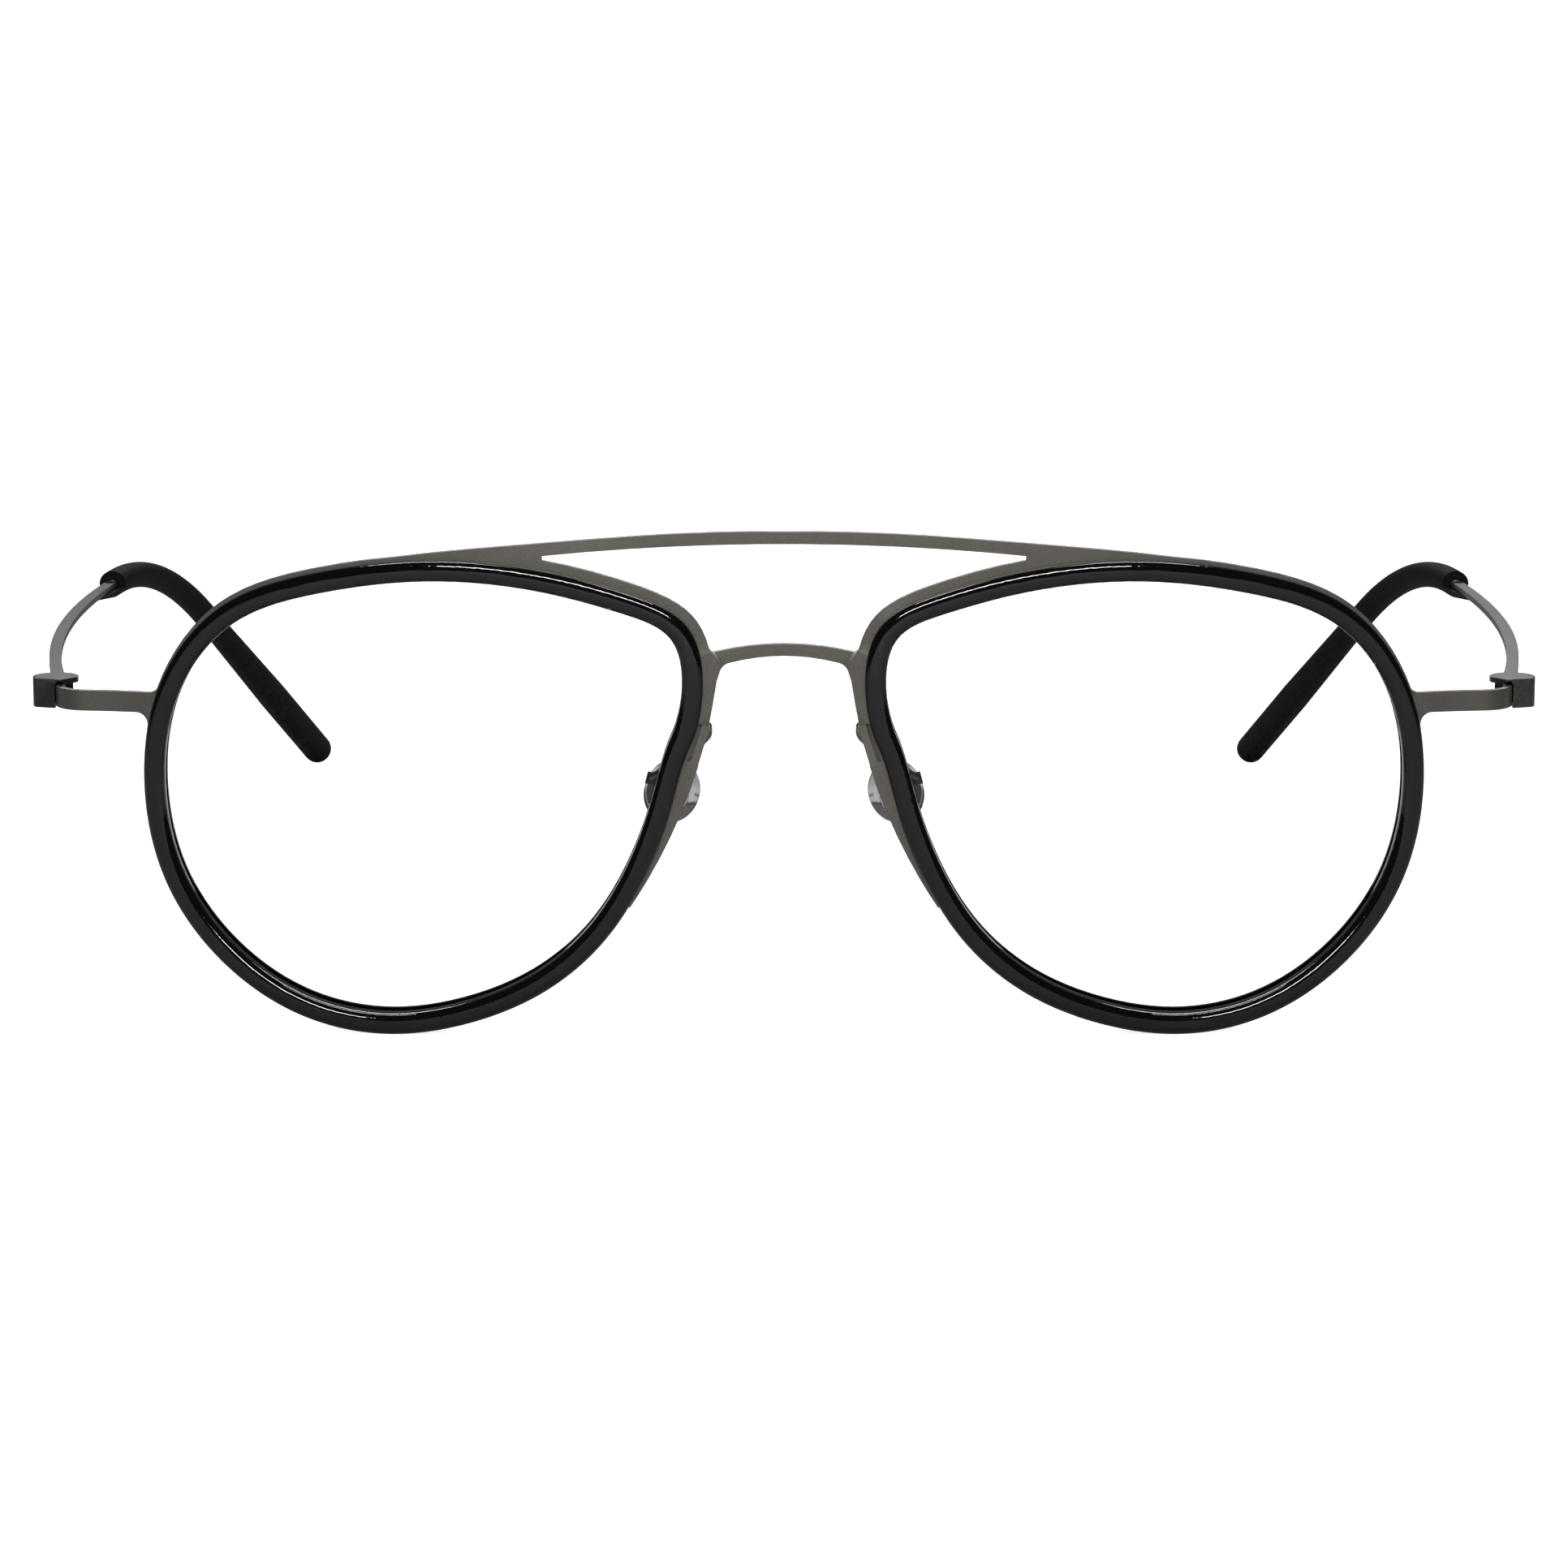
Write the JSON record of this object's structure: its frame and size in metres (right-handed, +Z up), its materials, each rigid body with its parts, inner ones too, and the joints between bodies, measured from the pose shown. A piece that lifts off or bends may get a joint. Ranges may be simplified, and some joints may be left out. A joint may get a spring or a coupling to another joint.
{
  "type": "double bridge glasses",
  "caption": "Double bridge eyeglass frame of thin metal with dark inner rims, clear lenses, folding temples with soft tips and rocking nose pads.",
  "frame": {"origin": "centre of the overall box at the height of the table that the rims and temple tips stand on, with the temples open", "axes": "+X towards the wearer's left, -Y out of the front, +Z up"},
  "size_m": [0.147, 0.1431, 0.0486],
  "materials": {
    "titanium": "matte warm grey titanium",
    "black_acetate": "satin black acetate",
    "clear_lens": "clear polished",
    "tip_rubber": "matte black",
    "pin_metal": "satin grey",
    "core_metal": "satin bluish grey",
    "clear_silicone": "clear soft silicone"
  },
  "bodies": {
    "front": {"front_chassis": "titanium", "rim_right": "black_acetate", "rim_left": "black_acetate", "lens_right": "clear_lens", "lens_left": "clear_lens", "pad_clip_right": "titanium", "pad_clip_left": "titanium", "pad_pin_right": "pin_metal", "pad_pin_left": "pin_metal"},
    "temple_arm_right": {"temple_right": "titanium", "hinge_pin_right": "pin_metal", "temple_tip_right": "tip_rubber"},
    "temple_arm_left": {"temple_left": "titanium", "hinge_pin_left": "pin_metal", "temple_tip_left": "tip_rubber"},
    "pad_right": {"nose_pad_right": "clear_silicone", "pad_core_right": "core_metal"},
    "pad_left": {"nose_pad_left": "clear_silicone", "pad_core_left": "core_metal"}
  },
  "joints": [
    {"name": "temple_right_fold", "type": "hinge", "parent": "front", "child": "temple_arm_right", "pos_m": [-0.0701, -0.0583, 0.0315], "axis": [0, 0, -1], "range_deg": [0, 84]},
    {"name": "temple_left_fold", "type": "hinge", "parent": "front", "child": "temple_arm_left", "pos_m": [0.0701, -0.0583, 0.0315], "axis": [0, 0, 1], "range_deg": [0, 78]},
    {"name": "pad_right_rock", "type": "hinge", "parent": "front", "child": "pad_right", "pos_m": [-0.01175, -0.06463, 0.02378], "axis": [-0.6428, 0.766, 0], "range_deg": [-8, 8]},
    {"name": "pad_left_rock", "type": "hinge", "parent": "front", "child": "pad_left", "pos_m": [0.01175, -0.06463, 0.02378], "axis": [0.6428, 0.766, 0], "range_deg": [-8, 8]}
  ]
}
